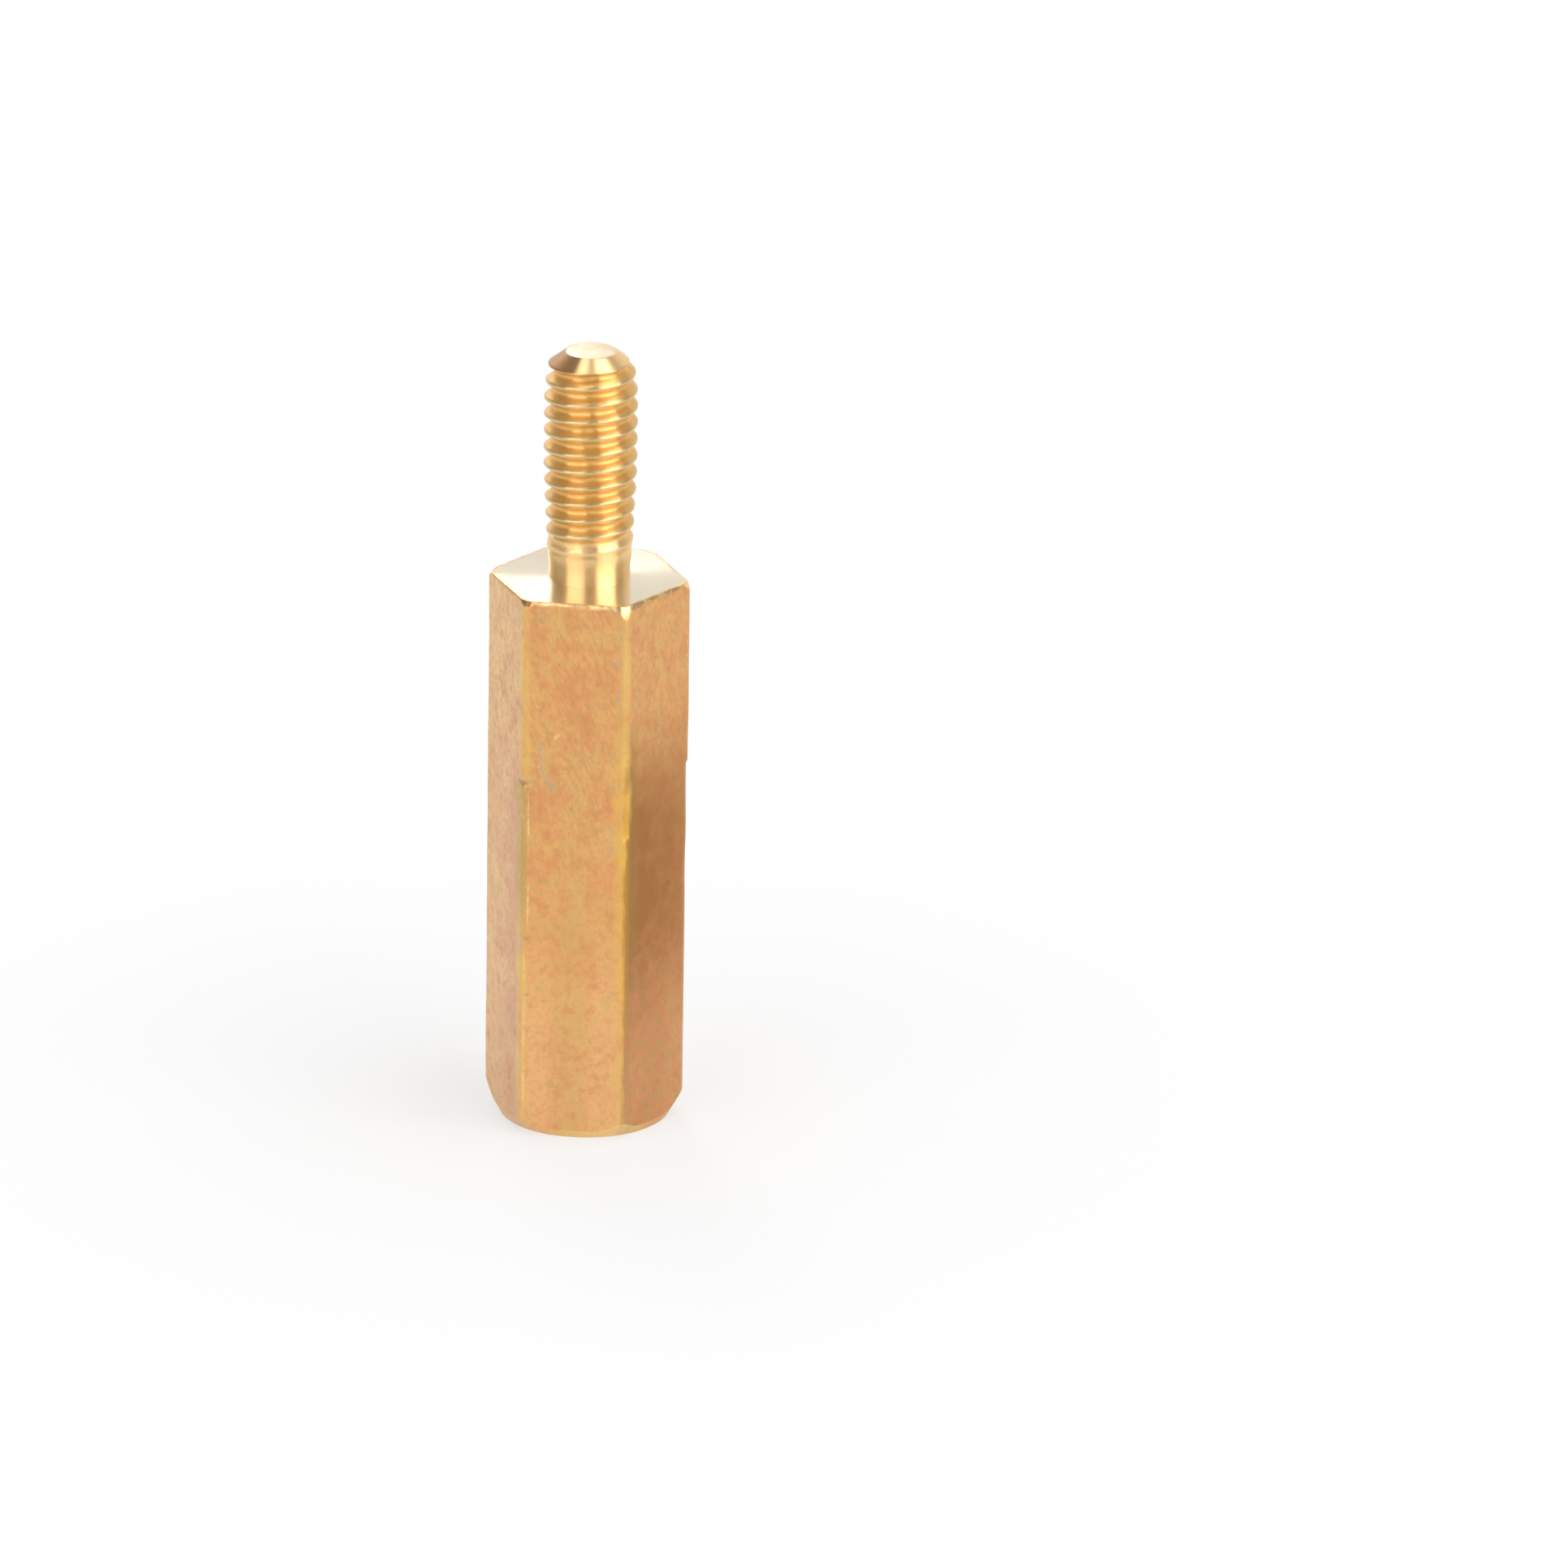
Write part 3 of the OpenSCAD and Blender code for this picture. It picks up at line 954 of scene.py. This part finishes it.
threadFinish = {
    "crest": (0.71, 0.51, 0.23),
    "flank": (0.83, 0.48, 0.15),
    "root": (0.83, 0.50, 0.165),
    "underFlank": (0.84, 0.53, 0.19),
    "stain": (0.66, 0.38, 0.13),
    "neck": (0.91, 0.62, 0.30),
    # above the shoulder, going down: where the neck's finish starts, is full, is last full and ends
    "neckFade": (1.5 * mm, 0.8 * mm, 0, -0.2 * mm),
    "clouds": (0.005 * mm, 0.7),          # depth and strength of its clouds' bumps, then of its grain's
    "grain": (0.006 * mm, 0.8),
    "roughness": (0.34, 0.43),            # on a crest and in a root
    "stretch": 0.7,
}


# Metal with fine lines round the axis, a noise of the distance from the axis and the height alone, and
# with highlights stretched across them
def lathed(f, t, colour):
    x, y, z = f.axes()
    radial = f.math("SQRT", f.math("ADD", f.product(x, x), f.product(y, y)))
    line = f.node("ShaderNodeCombineXYZ", {"X": radial, "Y": z, "Z": 0.0}).outputs[0]
    scale, depth, strength = t["marks"]
    normal = f.bump(f.noise(scale, 3, 0.7, line), depth, strength)
    return f.metal(colour, t["roughness"], normal, Anisotropic=t["stretch"], Tangent=meridian(f))


# Bright lathe-turned brass, with painted brown shade along the rim and on the tip's cone, and beads on the
# rim
def turnedBrass():
    f = Finish("turnedBrass")
    t = turnedFinish
    colour = f.mix(f.between(f.noise(1500, 3, 0.5), 0.3, 0.7), *t["base"])
    beads = f.product(f.between(f.noise(4200, 2, 0.5), 0.47, 0.58, 0, 0.6), f.mask("rimBeads"))
    return lathed(f, t, f.mix(f.greatest(f.mask("rimShade"), beads), colour, t["skin"]))


# The shoulder: faced to a nearly mirror-bright brass with faint rings, pale cream as a painted reflection
# of bright light
def facedBrass():
    f = Finish("facedBrass")
    return lathed(f, facedFinish, f.mix(f.between(f.noise(900, 3, 0.5), 0.3, 0.7), *facedFinish["base"]))


# The stud's end: cut off and deburred, softly bright, pale cream as a painted reflection of bright light
def tipBrass():
    f = Finish("tipBrass")
    t = tipFinish
    clouds = f.noise(2600, 4, 0.6)
    colour = f.mix(f.between(clouds, 0.35, 0.65), *t["base"])
    return f.metal(colour, t["roughness"], f.bump(clouds, *t["clouds"]))


# Thread: paler crests, deeper colour in the roots, stains; towards the neck it becomes turned brass
def threadBrass():
    f = Finish("threadBrass")
    t = threadFinish
    root = f.mask("rootMask")
    z = f.axes()["Z"]
    clouds = f.noise(2600, 3, 0.5)
    colour = f.mix(f.between(root, 0.05, 0.5), t["crest"], t["flank"])
    colour = f.mix(f.between(root, 0.55, 0.95), colour, t["root"])
    colour = f.mix(f.mask("underFlank"), colour, t["underFlank"])
    colour = f.mix(f.between(clouds, 0.5, 0.7, 0, 0.4), colour, t["stain"])
    highest, fullHigh, fullLow, lowest = (shoulderZ + v for v in t["neckFade"])
    neck = f.product(f.between(z, highest, fullHigh), f.between(z, lowest, fullLow))
    colour = f.mix(neck, colour, t["neck"])
    normal = f.bump(clouds, *t["clouds"])
    normal = f.bump(f.noise(5200, 3, 0.6), *t["grain"], Normal=normal)
    rough = f.between(root, 0, 0.5, *t["roughness"])
    return f.metal(colour, rough, normal, Anisotropic=t["stretch"], Tangent=meridian(f))


piece = buildStandoff()
for material in (drawnBrass(), turnedBrass(), threadBrass(), facedBrass(), tipBrass()):
    piece.data.materials.append(material)
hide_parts("standoff")
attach(piece, "root")
print("standoff: finished")

# What a user would change in the studio. The room and its backdrop are greys of these strengths.
studio = {
    "roomLight": 0.416,
    "backdropLight": 0.896,
    "backdropEdges": (0.25, 0.75),        # shares to the back where the backdrop starts and is full
    "backdropTop": (0.6, 0.85),           # and shares upwards where it ends
    "floorReach": 3.0,
    "floorSides": 64,
    "floorGrey": 0.77,
    "floorWhite": (0.58, 1.0),            # share of the floor that glows plain white, near and far off
    "floorFade": (2 * mm, 24 * mm),       # distances between which that share grows
    "frontGrey": 0.2,                     # how much darker the room in front looks to the camera
    "frontFade": (44 * mm, 60 * mm),      # distances on the floor between which that sets in
    "frontSide": (-0.45, -0.65),          # and shares to the back, negative in front, likewise
    "softboxes": (
        # azimuth from the camera and elevation in degrees; distance, width, height; radiance
        (-40, 24, 0.30, 0.26, 0.24, 1.85),
        (51, 24, 0.30, 0.28, 0.24, 3.05),
        (-165, 33, 0.30, 0.10, 0.10, 5.0),
        (-90, 78, 0.30, 0.10, 0.078, 3.0),
        (95, 71, 0.30, 0.10, 0.138, 4.0),
    ),
}

# The camera looks at a point beside the standoff's foot: so far to its right, and so far up
camera = {
    "azimuth": 7.9,
    "elevation": 20.3,
    "distance": 400 * mm,
    "lens": 355.0,                        # in mm, as is the sensor's width
    "sensor": 36,
    "aimRight": 5.09 * mm,
    "aimUp": 9.03 * mm,
    "roll": 0.85,
}


# Unit vector towards an azimuth, which is 0 at the front and grows to the right, and an elevation
def towards(azimuth, elevation):
    flat = math.cos(elevation)
    return Vector((math.sin(azimuth) * flat, -math.cos(azimuth) * flat, math.sin(elevation)))


# Camera on a sphere round its aim point, with a small roll
def placeCamera():
    c = camera
    azimuth = c["azimuth"] * degree
    back = towards(azimuth, c["elevation"] * degree)
    right = Vector((math.cos(azimuth), math.sin(azimuth), 0))
    aim = right * c["aimRight"] + Vector((0, 0, c["aimUp"]))
    data = bpy.data.cameras.new("studioCamera")
    data.lens = c["lens"]
    data.sensor_width = c["sensor"]
    data.clip_start = 0.01
    data.clip_end = 10
    holder = addObject(data)
    turn = (-back).to_track_quat("-Z", "Y").to_matrix() @ Matrix.Rotation(c["roll"] * degree, 3, "Z")
    holder.matrix_world = Matrix.Translation(aim + back * c["distance"]) @ turn.to_4x4()
    bpy.context.scene.camera = holder


# A rectangular lamp that faces the standoff; its power gives the wanted radiance over its area
def softbox(number, azimuth, elevation, distance, width, height, radiance):
    direction = towards((camera["azimuth"] + azimuth) * degree, elevation * degree)
    data = bpy.data.lights.new(f"softbox{number}", "AREA")
    data.shape = "RECTANGLE"
    data.size = width
    data.size_y = height
    data.energy = radiance * math.pi * width * height
    lamp = addObject(data)
    lamp.location = Vector((0, 0, tipZ / 2)) + direction * distance
    lamp.rotation_mode = "QUATERNION"
    lamp.rotation_quaternion = (-direction).to_track_quat("-Z", "Y")
    lamp.visible_camera = False


# White to the camera, and light grey in front; to everything else a grey room with a pale backdrop low
# down behind
def studioWorld():
    f = Finish("studioWorld", bpy.data.worlds.new("studioWorld"))
    bpy.context.scene.world = f.material
    direction = f.node("ShaderNodeTexCoord").outputs["Generated"]
    parts = f.node("ShaderNodeSeparateXYZ", {"Vector": direction}).outputs
    back = f.between(parts["Y"], *studio["backdropEdges"], smooth=True)
    low = f.between(parts["Z"], *studio["backdropTop"], 1, 0, smooth=True)
    lit = f.between(f.product(back, low), 0, 1, studio["roomLight"], studio["backdropLight"])
    toCamera = f.node("ShaderNodeLightPath").outputs["Is Camera Ray"]
    shown = f.between(parts["Y"], *studio["frontSide"], 1, 1 - studio["frontGrey"], smooth=True)
    strength = f.math("ADD", f.product(lit, f.math("SUBTRACT", 1.0, toCamera)), f.product(shown, toCamera))
    background = f.node("ShaderNodeBackground", {"Color": (1.0, 1.0, 1.0), "Strength": strength})
    f.node("ShaderNodeOutputWorld", {"Surface": background.outputs[0]})


# A wide pale disc that keeps the shadow near the standoff and is plain white further out
def studioFloor():
    s = studio
    angles = np.arange(s["floorSides"]) * fullTurn / s["floorSides"]
    points = np.stack([np.cos(angles), np.sin(angles), 0 * angles], axis=-1) * s["floorReach"]
    mesh = bpy.data.meshes.new("studioFloor")
    mesh.from_pydata(points.tolist(), [], [list(range(s["floorSides"]))])
    floor = addObject(mesh)
    f = Finish("paleFloor")
    away = f.node("ShaderNodeVectorMath", {0: f.place}, operation="LENGTH").outputs["Value"]
    white = f.between(away, *s["floorFade"], *s["floorWhite"], smooth=True)
    diffuse = f.node("ShaderNodeBsdfDiffuse", {"Color": (s["floorGrey"],) * 3})
    front = f.between(f.math("DIVIDE", f.axes()["Y"], away), *s["frontSide"], smooth=True)
    front = f.product(f.between(away, *s["frontFade"], smooth=True), front)
    front = f.product(front, f.node("ShaderNodeLightPath").outputs["Is Camera Ray"])
    glow = f.node("ShaderNodeEmission", {"Strength": f.between(front, 0, 1, 1, 1 - s["frontGrey"])})
    shader = f.node("ShaderNodeMixShader", {0: white, 1: diffuse.outputs[0], 2: glow.outputs[0]})
    f.node("ShaderNodeOutputMaterial", {"Surface": shader.outputs[0]})
    mesh.materials.append(f.material)


placeCamera()
studioWorld()
studioFloor()
for number, settings in enumerate(studio["softboxes"], 1):
    softbox(number, *settings)
bpy.context.scene.view_settings.view_transform = "Standard"
print("studio: camera, floor and", len(studio["softboxes"]), "softboxes")
